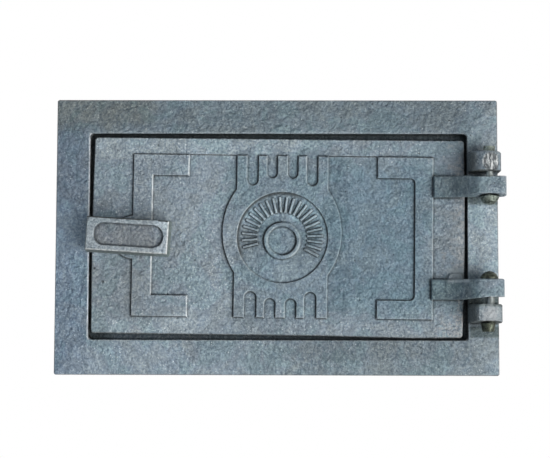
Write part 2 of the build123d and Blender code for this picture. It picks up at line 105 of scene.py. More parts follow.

# Metal laid bare, and the painted highlights on the leaf's margin and the rivet shank, as linear colours
LUG_METAL = (0.50, 0.52, 0.54, 1.0)
BEATEN_DARK = (0.33, 0.35, 0.36, 1.0)
BEATEN_LIGHT = (0.72, 0.74, 0.74, 1.0)
CRACK_DIRT = (0.10, 0.106, 0.11, 1.0)
MARGIN_METAL = (0.37, 0.365, 0.36, 1.0)
# wear with a painted highlight along the leaf's right edge
MARGIN_EDGE_WEAR_AND_HIGHLIGHT = (0.56, 0.56, 0.55, 1.0)
# wear with a painted highlight in the leaf's lower right corner
CORNER_WEAR_AND_HIGHLIGHT = (0.52, 0.51, 0.50, 1.0)
LUMP_METAL = (0.30, 0.35, 0.38, 1.0)
HANDLE_METAL_DARK = (0.20, 0.235, 0.265, 1.0)
HANDLE_METAL_LIGHT = (0.60, 0.67, 0.72, 1.0)
STEEL_DARK = (0.020, 0.024, 0.020, 1.0)
STEEL_LIGHT = (0.11, 0.12, 0.105, 1.0)
# painted highlight on the shank between strap and lug
SHANK_HIGHLIGHT = (0.30, 0.33, 0.34, 1.0)

# Dirt in the blow holes, as linear colours
FRAME_HOLE_DIRT = (0.03, 0.033, 0.036, 1.0)
LEAF_HOLE_DIRT = (0.04, 0.045, 0.05, 1.0)

# Factors on the colour in one place each
OUTER_EDGE_SHADE = (0.66, 0.63, 0.60)
# grime with painted shade under the hinge straps and lug
GRIME_AND_PAINTED_SHADE = (0.44, 0.47, 0.44)
STAIN_SHADE = (0.45, 0.55, 0.5)
STRAP_SHADE = (0.82, 0.84, 0.85)
STRAP_ARM_SHADE = (0.62, 0.67, 0.66)
RIGHT_STRIP_SHADE = (0.84, 0.85, 0.86)
FIGURE_SHADE = (0.74, 0.78, 0.80)
MEDALLION_FOOT_LIGHT = (1.18, 1.18, 1.18)
RIBS_LIGHT = (1.36, 1.36, 1.36)
# painted light on the handle's right end
HANDLE_END_LIGHT = (1.36, 1.36, 1.36)
# painted shade on the handle's top
HANDLE_TOP_SHADE = (0.88, 0.88, 0.88)
POCKET_SHADE = (0.84, 0.80, 0.80)
UPPER_RIVET_LIGHT = (1.65, 1.78, 1.80)
LOWER_RIVET_SHADE = (0.56, 0.60, 0.50)

# How much less rough the handle's face is where it is rubbed
HANDLE_POLISH = 0.08

# The side of the relief painted dark, as casting scale and as painted shade
UP_AND_LEFT = (-0.87, 0.0, 0.50)

# How far a surface faces a side, from -1 to 1, to be marked, and how strongly where that isn't 0 to 1
SCALE_AND_SHADE_TURN = (0.22, 0.44, 0.0, 0.94)
RIGHT_TURN = (0.22, 0.44)
DOWN_TURN = (-0.20, -0.45, 0.0, 0.65)
FLANGE_SIDE_TURN = (0.9, 0.6)
LUG_LEFT_TURN = (-0.45, -0.80)
LUG_DOWN_TURN = (-0.35, -0.75)
HANDLE_SIDE_TURN = (0.9, 0.7)
HANDLE_DOWN_TURN = (-0.9, -0.3, 0.72, 0.80)
RIM_UP_TURN = (0.06, 0.30, 0.0, 0.95)
RIM_RIGHT_TURN = (0.05, 0.30, 0.0, 0.95)
RIM_DOWN_TURN = (-0.08, -0.35, 0.0, 0.6)

# Noises that break up the marks, and the range of each that counts
SCALE_AND_SHADE_NOISE = (0.6, 2.0, 0.6)
SCALE_AND_SHADE_RANGE = (0.3, 0.7, 0.65, 1.35)
RELIEF_NOISE = (0.25, 3.0, 0.7)
RELIEF_RANGE = (0.35, 0.6, 0.30, 1.0)
LUG_NOISE = (0.4, 3.0, 0.7)
LUG_RANGE = (0.3, 0.6, 0.15, 0.75)
RAGGED_NOISE = (0.35, 3.0, 0.6)
RAGGED_RANGE = (0.12, 0.40, 0.0, 0.9)
STREAK_NOISE = (0.55, 3.0, 0.7, 0.6)
STREAK_STRETCH = (1.0, 0.4, 0.30)
STREAK_RANGE = (0.50, 0.60)
CRACK_RANGE = (0.49, 0.42)
MARGIN_NOISE = (0.12, 4.0, 0.7)
MARGIN_RANGE = (0.42, 0.62, 0.0, 0.36)
MARGIN_EDGE_NOISE = (0.40, 4.0, 0.75)
MARGIN_EDGE_RANGE = (0.46, 0.62)
CORNER_NOISE = (0.5, 3.0, 0.75)
CORNER_RANGE = (0.45, 0.65)
FIGURE_NOISE = (0.16, 3.0, 0.6)
FIGURE_RANGE = (0.62, 0.45)
HANDLE_NOISE = (0.22, 3.0, 0.6)
HANDLE_RANGE = (0.3, 0.6, 0.3, 1.0)
SPECK_NOISE = (0.70, 3.0, 0.75)
SPECK_RANGE = (0.40, 0.62)
SHINE_NOISE = (0.5, 3.0, 0.7)
SHINE_RANGE = (0.35, 0.6, 0.4, 1.0)
STEEL_NOISE = (0.5, 4.0, 0.65)
STEEL_RANGE = (0.36, 0.62)
STEEL_ROUGHNESS = (0.3, 0.7, 0.55, 0.38)

# Levels of Y in millimetres between which a mask rises from 0 to 1. The front faces are at negative Y:
# the leaf at -8, its relief at -9.5, its straps at -12.5 and the handle's face at -24.3
BELOW_STRAPS = (-11.5, -10.0)
BEFORE_THE_BACK = (-1.0, -2.0)
BELOW_RELIEF = (-9.4, -9.0)
RELIEF_EDGE = (-8.2, -8.9)
LEAF_EDGE = (-7.5, -6.9)
ON_STRAPS = (-10.4, -11.2)
OFF_STRAPS = (-10.8, -9.8)
LEAF_FRONT = (-5.0, -6.5)
MEDALLION_FLOOR = (-8.8, -8.6)
MEDALLION_FRONT = (-6.0, -7.0)
FLANGE_FRONT = (-2.0, -4.0)
FLANGE_SIDE_FRONT = (-4.7, -4.1)
FLANGE_SIDE_BACK = (1.0, 0.2)
ON_LUGS = (-10.6, -11.6)
IN_THE_OPENING = (-8.0, -7.0)
HANDLE_FACE = (-23.0, -24.0)
HANDLE_RIM = (-22.8, -23.6)
HANDLE_SIDE = (-12.0, -13.0)
POCKET_BELOW_FACE = (-23.4, -22.8)
POCKET_ABOVE_BACK = (-20.0, -21.0)

# Places along X in millimetres between which a mask rises from 0 to 1, or falls from 1 to 0.38
RIGHT_OF_HANDLE = (-66.0, -40.0, 1.0, 0.38)
LEFT_WALL = (-100.0, -118.0)
STRAP_END = (100.0, 101.0)
STRAP_ARM_END = (140.0, 128.0)
HANDLE_END = (-82.0, -79.0)

# The same along Z
TOP_WALL = (40.0, 60.0)
RIBS_FOOT = (2.0, 12.0)
HANDLE_TOP = (8.0, 10.5)
UPPER_RIVET = (0.0, 20.0)
LOWER_RIVET = (0.0, -20.0)

# Heights above and below the middle, in millimetres, between which a shank shows
SHANK_START = (38.5, 40.0)
SHANK_END = (46.0, 45.0)

# Tones of the frame, partly the iron's own and partly painted light and shade: X range, Z range and soft
# margin in millimetres, and the factor on the colour
FRAME_TONES_AND_LIGHT = {
    "top rail": ((-200, 120), (76, 200), 14.0, (0.74, 0.76, 0.76)),
    "top rail, left end": ((-200, -90), (80, 200), 12.0, (1.0, 0.93, 0.85)),
    "top rail, middle": ((-50, 50), (76, 200), 20.0, (1.13, 1.12, 1.10)),
    "left rail": ((-200, -132), (-100, 66), 14.0, (0.80, 0.82, 0.88)),
    "left rail, lower part": ((-200, -132), (-100, 14), 14.0, (1.13, 1.15, 1.16)),
    "left rail, middle": ((-200, -132), (-60, 20), 14.0, (1.09, 1.10, 1.11)),
    # painted light over the shadow of the handle
    "left rail, beside the handle": ((-148, -129), (-6, 20), 8.0, (1.14, 1.14, 1.13)),
    "bottom rail, left part": ((-200, -30), (-200, -76), 8.0, (1.08, 1.08, 1.10)),
    "bottom rail, left of the middle": ((-54, -28), (-82, -70), 8.0, (0.86, 0.86, 0.86)),
    "bottom rail, right part": ((30, 110), (-200, -74), 60.0, (0.70, 0.71, 0.71)),
    "bottom rail, lower edge": ((0, 200), (-200, -85), 5.0, (1.20, 1.20, 1.19)),
    "right rail, upper end": ((132, 200), (45, 200), 18.0, (0.87, 0.87, 0.87)),
    "right rail, middle": ((126, 200), (-34, 36), 8.0, (1.07, 1.07, 1.07)),
    "right rail, middle of the outer side": ((141, 200), (-34, 30), 9.0, (1.13, 1.13, 1.13)),
    "right rail, lower end": ((126, 200), (-200, -60), 8.0, (0.98, 0.98, 0.98)),
}

# Tones of the leaf, partly the iron's own and partly painted light and shade, with the same values in each
# row
LEAF_TONES_AND_LIGHT = {
    "medallion and right field": ((-14, 92), (-40, 40), 26.0, (0.80, 0.87, 0.90)),
    "right field": ((50, 90), (-36, 36), 22.0, (0.84, 0.90, 0.93)),
    "left field": ((-62, -38), (-60, 54), 8.0, (1.10, 1.10, 1.10)),
    "top margin": ((-120, 20), (58, 72), 5.0, (1.26, 1.25, 1.22)),
    "bottom margin": ((-110, -54), (-70, -56), 5.0, (1.28, 1.27, 1.26)),
    "lower left corner": ((-120, -90), (-70, -20), 10.0, (0.93, 0.91, 0.89)),
}

# Grime and painted shade on the right rail, under the straps and under the lower lug: X range, Z range and
# soft margin in millimetres
HINGE_GRIME_AND_SHADE = {
    "under the lower strap": ((127, 148), (-46, -38), 2.0),
    "under the lower lug": ((129, 152), (-66, -60.5), 2.0),
    "under the upper strap": ((125, 147), (22.5, 28.5), 2.0),
}

# Rectangles of the front, with the same three values
FLANGE = ((-147.3, 147.3), (-91.5, 91.5), 0.5)
OPENING = ((-125.6, 127.3), (-69.3, 69.3), 0.3)
RIGHT_MARGIN = ((118, 130), (-70, 70), 5.0)
RIGHT_MARGIN_EDGE = ((121.0, 127.0), (-70, 52), 2.6)
LOWER_RIGHT_CORNER = ((106, 124), (-70, -57), 5.0)
RIGHT_STRIP = ((110, 130), (-50, 70), 4.0)
RIGHT_OF_FIGURE = ((36, 45), (-52, 50), 5.0)
MEDALLION_UPPER_LEFT = ((-40, 12), (-9, 40), 8.0)
LUMP = ((114.0, 126.0), (-30.0, -21.5), 1.5)
WITHIN_THE_RIM = ((-121.0, -78.0), (-9.0, 9.0), 0.6)

# Round spots: centre and radius in millimetres, and the soft share of the radius
UPPER_LUG_PATCH = ((141.2, -25.5, 48.4), 8.6, 0.6)
LOWER_LUG_PATCH = ((140.4, -25.0, -52.5), 10.5, 0.9)
STAIN = ((130.7, -6.0, -3.6), 4.0, 0.9)
MEDALLION_FOOT = ((3.0, -9.0, -22.0), 16.0, 0.6)
MEDALLION = ((3.1, -8.5, -0.5), 31.2, 0.01)
MEDALLION_MIDDLE = ((3.1, -8.5, -0.5), 28.9, 0.07)
RIBS_OUTER = ((3.1, -9.0, -0.5), 31.0, 0.1)
RIBS_INNER = ((3.1, -9.0, -0.5), 15.0, 0.1)

# Blow holes, with the same three values
FRAME_HOLE = ((-107.5, -5.5, 79.6), 1.8, 0.8)
LEAF_HOLES = (
    ((-121.2, -8.0, -21.5), 1.1, 0.8),
    ((-115.8, -8.0, -30.4), 1.4, 0.8),
    ((-54.5, -8.0, -16.0), 0.8, 0.8),
)

# How deep the blow holes, the lug's cracks, the handle's specks and the rivets' scale go
FRAME_HOLE_DEPTH = 0.9 * MM
LEAF_HOLE_DEPTH = 0.6 * MM
CRACK_DEPTH = 1.4 * MM
SPECK_DEPTH = 0.30 * MM
STEEL_DEPTH = 0.35 * MM

# How far a mark's outline wanders, in millimetres, on the frame, on the leaf and by the figure
FRAME_WANDER = 22.0
LEAF_WANDER = 34.0
FIGURE_WANDER = 9.0


def linear(red, green, blue):
    """An sRGB colour of 0 to 255 as linear light."""
    parts = []
    for value in (red, green, blue):
        share = value / 255
        parts.append(share / 12.92 if share <= 0.04045 else ((share + 0.055) / 1.055) ** 2.4)
    return (*parts, 1.0)


def shaded(tone, factor):
    """A tone with a factor on each part of it."""
    return (*(min(1.0, part * share) for part, share in zip(tone, factor)), 1.0)


class Nodes:
    """Builds one material's or world's node tree with short calls."""

    def __init__(self, tree):
        self.tree = tree
        tree.nodes.clear()

    def add(self, kind, inputs=None, **settings):
        """A node with its settings, its inputs fed with values or with other nodes' outputs."""
        node = self.tree.nodes.new(kind)
        for key, value in settings.items():
            setattr(node, key, value)
        for key, value in (inputs or {}).items():
            self.feed(node.inputs[key], value)
        return node

    def feed(self, socket, value):
        """Gives an input a value, or joins another node's output to it."""
        if isinstance(value, bpy.types.NodeSocket):
            self.tree.links.new(value, socket)
        else:
            socket.default_value = value

    def math(self, operation, *values):
        """Values put through a maths operation."""
        node = self.add("ShaderNodeMath", operation=operation)
        for socket, value in zip(node.inputs, values):
            self.feed(socket, value)
        return node.outputs[0]

    def times(self, first, *others):
        """Masks or values multiplied together."""
        for other in others:
            first = self.math("MULTIPLY", first, other)
        return first

    def most(self, first, *others):
        """The greatest of some masks."""
        for other in others:
            first = self.math("MAXIMUM", first, other)
        return first

    def outside(self, mask):
        """1 where a mask is 0."""
        return self.math("SUBTRACT", 1.0, mask)

    def vector(self, operation, first, second, output="Vector"):
        """Two vectors put through a vector operation."""
        node = self.add("ShaderNodeVectorMath", {0: first, 1: second}, operation=operation)
        return node.outputs[output]

    def scaled(self, vector, factor):
        """A vector made longer by a factor."""
        node = self.add("ShaderNodeVectorMath", {0: vector, "Scale": factor}, operation="SCALE")
        return node.outputs["Vector"]

    def axes(self, vector):
        """A vector's X, Y and Z."""
        return self.add("ShaderNodeSeparateXYZ", {0: vector}).outputs

    def ramp(self, value, low, high, start=0.0, end=1.0):
        """A value carried smoothly from one range to another, clamped."""
        inputs = {"Value": value, "From Min": low, "From Max": high, "To Min": start, "To Max": end}
        return self.add("ShaderNodeMapRange", inputs, interpolation_type="SMOOTHSTEP").outputs["Result"]

    def mix(self, share, first, second, blend="MIX"):
        """The second colour over the first, as far as a share says."""
        node = self.add("ShaderNodeMix", data_type="RGBA", blend_type=blend)
        self.feed(node.inputs["Factor"], share)
        self.feed(node.inputs["A"], first)
        self.feed(node.inputs["B"], second)
        return node.outputs["Result"]

    def noise(self, place, scale, detail, roughness, distortion=0.0, output="Fac"):
        """Noise at a place, from about 0 to 1."""
        inputs = {"Vector": place, "Scale": scale, "Detail": detail, "Roughness": roughness}
        inputs["Distortion"] = distortion
        return self.add("ShaderNodeTexNoise", inputs).outputs[output]

    def cells(self, place, scale):
        """How far a place is from the nearest of some scattered points."""
        return self.add("ShaderNodeTexVoronoi", {"Vector": place, "Scale": scale}).outputs["Distance"]

    def occlusion(self, reach, **settings):
        """How open a point is, as far as it looks round."""
        node = self.add("ShaderNodeAmbientOcclusion", {"Distance": reach}, samples=6, **settings)
        return node.outputs["AO"]

    def bevel(self, radius):
        """The shading normal of edges rounded off by a radius."""
        return self.add("ShaderNodeBevel", {"Radius": radius}, samples=4).outputs["Normal"]

    def spot(self, place, centre, radius, soft):
        """1 at a point of the object, in millimetres, falling to 0 over the soft share of a radius."""
        away = self.vector("DISTANCE", place, centre, "Value")
        return self.ramp(away, radius, radius * (1 - soft))

    def region(self, place, x_range, z_range, soft):
        """1 inside a rectangle of the object's X and Z, in millimetres, falling to 0 past its sides."""
        split = self.axes(place)
        sides = []
        for axis, (low, high) in (("X", x_range), ("Z", z_range)):
            sides.append(self.ramp(split[axis], low - soft, low))
            sides.append(self.ramp(split[axis], high + soft, high))
        return self.times(*sides)


class Coat:
    """A surface as it is built up, with the place of each point and the way its rounded edges face."""

    def __init__(self, n, place, colour, normal, rough):
        self.n = n
        self.place = place
        self.facing = object_facing(n, normal)
        self.colour = colour
        self.normal = normal
        self.rough = rough

    def paint(self, mask, colour, share=1.0):
        """Covers a share of the surface with a colour where a mask says so."""
        self.colour = self.n.mix(self.n.times(mask, share), self.colour, colour)

    def tint(self, mask, factor, share=1.0):
        """Multiplies the colour by a factor where a mask says so."""
        self.colour = self.n.mix(self.n.times(mask, share), self.colour, (*factor, 1.0), "MULTIPLY")

    def emboss(self, height, depth):
        """Raises the surface by a depth where a mask says so, and sinks it where the depth is negative."""
        inputs = {"Height": height, "Distance": depth, "Normal": self.normal}
        self.normal = self.n.add("ShaderNodeBump", inputs).outputs["Normal"]

    def tones(self, place, table):
        """Tints each rectangle of a table."""
        for x_range, z_range, soft, factor in table.values():
            self.tint(self.n.region(place, x_range, z_range, soft), factor)

    def blow_hole(self, spot, depth, colour, share):
        """A small dark hole."""
        hole = self.n.spot(self.place, *spot)
        self.paint(hole, colour, share)
        self.emboss(hole, -depth)

    def finish(self, **values):
        """Joins the surface to the material's output."""
        inputs = {"Base Color": self.colour, "Roughness": self.rough, "Normal": self.normal}
        for name, value in values.items():
            inputs[name.replace("_", " ")] = value
        shader = self.n.add("ShaderNodeBsdfPrincipled", inputs).outputs["BSDF"]
        self.n.add("ShaderNodeOutputMaterial", {"Surface": shader})


def new_material(name):
    """An empty material and its nodes."""
    material = bpy.data.materials.new(name)
    material.use_nodes = True
    return material, Nodes(material.node_tree)


def object_millimetres(n, shift):
    """The object's own coordinates in millimetres, and the same moved so that no two materials match."""
    coords = n.add("ShaderNodeTexCoord").outputs["Object"]
    place = n.scaled(coords, 1 / MM)
    return place, n.vector("ADD", place, shift)


def object_facing(n, normal):
    """A shading normal turned into the object's own axes."""
    turned = {"vector_type": "NORMAL", "convert_from": "WORLD", "convert_to": "OBJECT"}
    return n.add("ShaderNodeVectorTransform", {"Vector": normal}, **turned).outputs["Vector"]


def wandering(n, place, reach):
    """Coordinates pushed about by noise, so that a mark's outline is uneven."""
    push = n.noise(place, *OUTLINES, output="Color")
    push = n.vector("SUBTRACT", push, (0.5, 0.5, 0.5))
    return n.vector("ADD", place, n.scaled(push, reach))


def speckle(coat, moved, tone, blotch):
    """Dark and light blotches, clouds, warm and cool parts, and painted glints of sparkle."""
    n = coat.n
    coat.paint(n.ramp(blotch, *DARK_BLOTCH_RANGE), shaded(tone, DARK_BLOTCH))
    coat.paint(n.ramp(blotch, *LIGHT_BLOTCH_RANGE), shaded(tone, LIGHT_BLOTCH))
    coat.paint(n.ramp(n.noise(moved, *CLOUDS), *CLOUD_RANGE), shaded(tone, LIGHT_CLOUD))
    hue = n.noise(moved, *HUES)
    coat.tint(n.ramp(hue, *WARM_RANGE), WARM)
    coat.tint(n.ramp(hue, *COOL_RANGE), COOL)
    groups = n.ramp(n.noise(moved, *SPARKLE_GROUPS), *SPARKLE_GROUP_RANGE)
    sparkle = n.times(n.ramp(n.cells(moved, SPARKLE_CELLS), *SPARKLE_RANGE), groups)
    # painted glints of sparkle in scattered groups
    coat.paint(sparkle, SPARKLE_GLINT, share=0.8)


def dirt_and_shade_in_hollows(coat):
    """Dirt and painted shade in deep gaps and along the roots of walls."""
    n = coat.n
    # painted shade with casting scale in deep gaps
    coat.paint(n.ramp(n.occlusion(HOLLOW_REACH), *HOLLOW_RANGE), CASTING_SCALE_AND_SHADE)
    # painted shade with dirt along the roots of walls
    coat.paint(n.ramp(n.occlusion(ROOT_REACH), *ROOT_RANGE), ROOT_DIRT_AND_SHADE)


def scale_and_shade_on_walls(coat):
    """Edges of the relief painted by the side they face: dark casting scale and painted shade facing up
    and left, dirt and painted shade at the feet of walls facing down, wear and painted highlight facing
    right.
    """
    n, place = coat.n, coat.place
    split, facing = n.axes(place), n.axes(coat.facing)
    level = split["Y"]
    low = n.times(n.ramp(level, *BELOW_STRAPS), n.ramp(level, *BEFORE_THE_BACK))
    uneven = n.ramp(n.noise(place, *SCALE_AND_SHADE_NOISE), *SCALE_AND_SHADE_RANGE)
    away = n.times(n.vector("DOT_PRODUCT", coat.facing, UP_AND_LEFT, "Value"), uneven)
    # painted shade with casting scale on walls facing up and left
    coat.paint(n.times(low, n.ramp(away, *SCALE_AND_SHADE_TURN)), CASTING_SCALE_AND_SHADE)
    down = n.ramp(facing["Z"], *DOWN_TURN)
    # painted shade with dirt at the feet of walls facing down
    coat.paint(n.times(n.ramp(level, *BELOW_RELIEF), low, down), FOOT_DIRT_AND_SHADE)

    kept = n.ramp(n.noise(place, *RELIEF_NOISE), *RELIEF_RANGE)
    by_the_handle = n.ramp(split["X"], *RIGHT_OF_HANDLE)
    edges = n.most(n.times(low, n.ramp(level, *RELIEF_EDGE)), n.times(low, n.ramp(level, *LEAF_EDGE)))
    right = n.ramp(facing["X"], *RIGHT_TURN)
    # painted highlight with wear on edges facing right
    coat.paint(n.times(edges, by_the_handle, kept, right), RUBBED_RELIEF_AND_HIGHLIGHT)


def rubbed_edges(coat, blotch):
    """A little bare metal on every outer edge."""
    n = coat.n
    edge = n.ramp(n.occlusion(EDGE_REACH, inside=True, only_local=True), *EDGE_RANGE)
    patches = n.ramp(blotch, *EDGE_PATCHES)
    coat.paint(n.times(edge, patches), RUBBED_EDGE, share=0.55)


def cast_iron(name, tone, shift, marks):
    """Iron as it comes from the sand, with the marks of one piece."""
    material, n = new_material(name)
    place, moved = object_millimetres(n, shift)
    grain = n.noise(moved, *GRAIN)
    blotch = n.noise(moved, *BLOTCHES)
    pits = n.ramp(n.cells(n.vector("ADD", moved, PIT_SHIFT), PIT_CELLS), *PIT_RANGE)

    bare = n.mix(n.ramp(grain, *GRAIN_RANGE), shaded(tone, DARK_GRAIN), shaded(tone, LIGHT_GRAIN))
    coat = Coat(n, place, bare, n.bevel(IRON_ROUNDING), n.ramp(grain, *IRON_ROUGHNESS))
    speckle(coat, moved, tone, blotch)
    coat.paint(pits, PIT_DIRT, share=0.75)
    dirt_and_shade_in_hollows(coat)
    scale_and_shade_on_walls(coat)
    rubbed_edges(coat, blotch)

    coat.emboss(n.noise(moved, *SWELLS), SWELL_DEPTH)
    coat.emboss(n.noise(moved, *SAND), SAND_DEPTH)
    coat.emboss(grain, GRAIN_DEPTH)
    coat.emboss(pits, -PIT_DEPTH)
    marks(coat)
    coat.finish(Metallic=0.15, Specular_IOR_Level=0.35)
    return material


def hammered_lugs(coat):
    """The upper lug's bright hammered patch with its cracks, and the lower lug's bare middle."""
    n, place = coat.n, coat.place
    bare = n.ramp(n.noise(place, *LUG_NOISE), *LUG_RANGE)
    coat.paint(n.times(n.spot(place, *LOWER_LUG_PATCH), bare), LUG_METAL)

    patch = n.times(n.spot(place, *UPPER_LUG_PATCH), n.noise(place, *RAGGED_NOISE))
    ragged = n.ramp(patch, *RAGGED_RANGE)
    streak = n.noise(n.vector("MULTIPLY", place, STREAK_STRETCH), *STREAK_NOISE)
    cracks = n.ramp(streak, *CRACK_RANGE)
    beaten = n.mix(n.ramp(streak, *STREAK_RANGE), BEATEN_DARK, BEATEN_LIGHT)
    coat.paint(ragged, n.mix(cracks, beaten, CRACK_DIRT), share=0.85)
    coat.emboss(n.times(ragged, cracks), -CRACK_DEPTH)


def dark_frame_sides(coat):
    """The flange's dirty narrow sides, its duller outer edge, and dirt and painted shade on the left and
    lower sides of the hinge lugs.
    """
    n = coat.n
    level, facing = n.axes(coat.place)["Y"], n.axes(coat.facing)
    turned = n.ramp(n.math("ABSOLUTE", facing["Y"]), *FLANGE_SIDE_TURN)
    flange_side = n.times(n.ramp(level, *FLANGE_SIDE_FRONT), n.ramp(level, *FLANGE_SIDE_BACK), turned)
    coat.paint(flange_side, SIDE_DIRT, share=0.75)
    lug_side = n.most(n.ramp(facing["X"], *LUG_LEFT_TURN), n.ramp(facing["Z"], *LUG_DOWN_TURN))
    # painted shade with dirt on the lugs' left and lower sides
    coat.paint(n.times(lug_side, n.ramp(level, *ON_LUGS)), LUG_DIRT_AND_SHADE, share=0.72)
    coat.tint(n.outside(n.region(coat.place, *FLANGE)), OUTER_EDGE_SHADE)


def soot_and_shade_in_the_gap(coat):
    """Soot and painted shade on the opening's inner walls, at the top and at the left."""
    n = coat.n
    split = n.axes(coat.place)
    top = n.ramp(split["Z"], *TOP_WALL)
    left = n.ramp(split["X"], *LEFT_WALL)
    walls = n.times(n.region(coat.place, *OPENING), n.ramp(split["Y"], *IN_THE_OPENING))
    # soot with painted shade on the top and left inner walls
    coat.paint(n.times(walls, n.most(top, left)), SOOT_AND_SHADE, share=0.65)


def frame_marks(coat):
    """The frame's tones, partly painted light and shade, its lugs, dirt, soot and painted shade, a stain
    and a blow hole.
    """
    n = coat.n
    loose = wandering(n, coat.place, FRAME_WANDER)
    # tones partly of the iron and partly painted light and shade
    coat.tones(loose, FRAME_TONES_AND_LIGHT)
    grime_and_shade = n.most(*(n.region(coat.place, *area) for area in HINGE_GRIME_AND_SHADE.values()))
    front = n.ramp(n.axes(coat.place)["Y"], *FLANGE_FRONT)
    # grime with painted shade under the straps and the lower lug
    coat.tint(n.times(grime_and_shade, front), GRIME_AND_PAINTED_SHADE)
    hammered_lugs(coat)
    dark_frame_sides(coat)
    soot_and_shade_in_the_gap(coat)
    coat.tint(n.spot(loose, *STAIN), STAIN_SHADE, share=0.6)
    coat.blow_hole(FRAME_HOLE, FRAME_HOLE_DEPTH, FRAME_HOLE_DIRT, share=1.0)


def dark_straps(coat):
    """Darker straps, and the more so along their flat arms."""
    n = coat.n
    split = n.axes(coat.place)
    straps = n.times(n.ramp(split["Y"], *ON_STRAPS), n.ramp(split["X"], *STRAP_END))
    arms = n.times(straps, n.ramp(split["X"], *STRAP_ARM_END))
    coat.tint(straps, STRAP_SHADE)
    coat.tint(arms, STRAP_ARM_SHADE)


def bare_margin(coat, loose):
    """The right margin worn to the metal in patches, brightest along the edge and in the lower corner,
    where wear and a painted highlight lie together.
    """
    n, place = coat.n, coat.place
    off_straps = n.ramp(n.axes(place)["Y"], *OFF_STRAPS)
    patches = n.times(n.region(loose, *RIGHT_MARGIN), n.noise(place, *MARGIN_NOISE), off_straps)
    coat.paint(n.ramp(patches, *MARGIN_RANGE), MARGIN_METAL)
    worn = n.ramp(n.noise(place, *MARGIN_EDGE_NOISE), *MARGIN_EDGE_RANGE)
    edge = n.times(n.region(place, *RIGHT_MARGIN_EDGE), off_straps, worn)
    # wear with a painted highlight along the right edge
    coat.paint(edge, MARGIN_EDGE_WEAR_AND_HIGHLIGHT, share=0.55)
    specks = n.ramp(n.noise(place, *CORNER_NOISE), *CORNER_RANGE)
    # wear with a painted highlight in the lower right corner
    coat.paint(n.times(n.region(loose, *LOWER_RIGHT_CORNER), specks), CORNER_WEAR_AND_HIGHLIGHT, share=0.60)
    coat.tint(n.times(n.region(loose, *RIGHT_STRIP), off_straps), RIGHT_STRIP_SHADE)


def medallion_marks(coat, loose):
    """The medallion: a lighter foot, a lighter ground of ribs, and dirt along its upper left border."""
    n, place = coat.n, coat.place
    split = n.axes(place)
    level = split["Y"]
    coat.tint(n.spot(loose, *MEDALLION_FOOT), MEDALLION_FOOT_LIGHT)
    ribs = n.math("SUBTRACT", n.spot(place, *RIBS_OUTER), n.spot(place, *RIBS_INNER))
    ribs = n.times(ribs, n.ramp(level, *LEAF_FRONT), n.ramp(split["Z"], *RIBS_FOOT))
    coat.tint(ribs, RIBS_LIGHT)
    ground = n.times(n.ramp(level, *MEDALLION_FLOOR), n.ramp(level, *MEDALLION_FRONT))
    border = n.times(n.spot(place, *MEDALLION), n.outside(n.spot(place, *MEDALLION_MIDDLE)))
    dirt = n.times(ground, border, n.region(place, *MEDALLION_UPPER_LEFT))
    coat.paint(dirt, MEDALLION_DIRT, share=0.80)


def leaf_marks(coat):
    """The leaf's straps, tones with painted light and shade, bare margin with a painted highlight,
    medallion, dull patches by the figure, blow holes.
    """
    n, place = coat.n, coat.place
    dark_straps(coat)
    loose = wandering(n, place, LEAF_WANDER)
    # tones partly of the iron and partly painted light and shade
    coat.tones(loose, LEAF_TONES_AND_LIGHT)
    bare_margin(coat, loose)
    patches = n.ramp(n.noise(place, *FIGURE_NOISE), *FIGURE_RANGE)
    beside = n.region(wandering(n, place, FIGURE_WANDER), *RIGHT_OF_FIGURE)
    coat.tint(n.times(beside, patches), FIGURE_SHADE)
    medallion_marks(coat, loose)
    coat.paint(n.region(place, *LUMP), LUMP_METAL, share=0.8)
    for hole in LEAF_HOLES:
        coat.blow_hole(hole, LEAF_HOLE_DEPTH, LEAF_HOLE_DIRT, share=0.8)


def handle_sides(coat, outer):
    """The handle's sides in dirt and painted shade, painted light on its right end and painted shade on
    its top.
    """
    n = coat.n
    split, flat = n.axes(coat.place), n.axes(n.add("ShaderNodeTexCoord").outputs["Normal"])
    turned = n.ramp(n.math("ABSOLUTE", flat["Y"]), *HANDLE_SIDE_TURN)
    sides = n.times(turned, n.ramp(split["Y"], *HANDLE_SIDE))
    dirt_and_shade = n.times(sides, outer, n.ramp(flat["Z"], *HANDLE_DOWN_TURN))
    # painted shade with dirt on the handle's sides
    coat.paint(dirt_and_shade, HANDLE_DIRT_AND_SHADE)
    # painted light on the right end
    coat.tint(n.ramp(split["X"], *HANDLE_END), HANDLE_END_LIGHT)
    # painted shade on the top
    coat.tint(n.ramp(split["Z"], *HANDLE_TOP), HANDLE_TOP_SHADE)


def handle_rim(coat, outer):
    """The rim of the handle's face: a painted shadow along the top, wear and a painted highlight along the
    right end and the bottom.
    """
    n = coat.n
    facing = n.axes(coat.facing)
    rim = n.times(n.ramp(n.axes(coat.place)["Y"], *HANDLE_RIM), outer)
    # painted shadow along the rim's top
    coat.paint(n.times(rim, n.ramp(facing["Z"], *RIM_UP_TURN)), HANDLE_TOP_EDGE_SHADOW)
    right = n.ramp(facing["X"], *RIM_RIGHT_TURN)
    bottom = n.ramp(facing["Z"], *RIM_DOWN_TURN)
    kept = n.ramp(n.noise(coat.place, *SHINE_NOISE), *SHINE_RANGE)
    # wear with a painted highlight along the right end and the bottom
    coat.paint(n.times(rim, n.times(n.most(right, bottom), kept)), HANDLE_WEAR_AND_HIGHLIGHT)


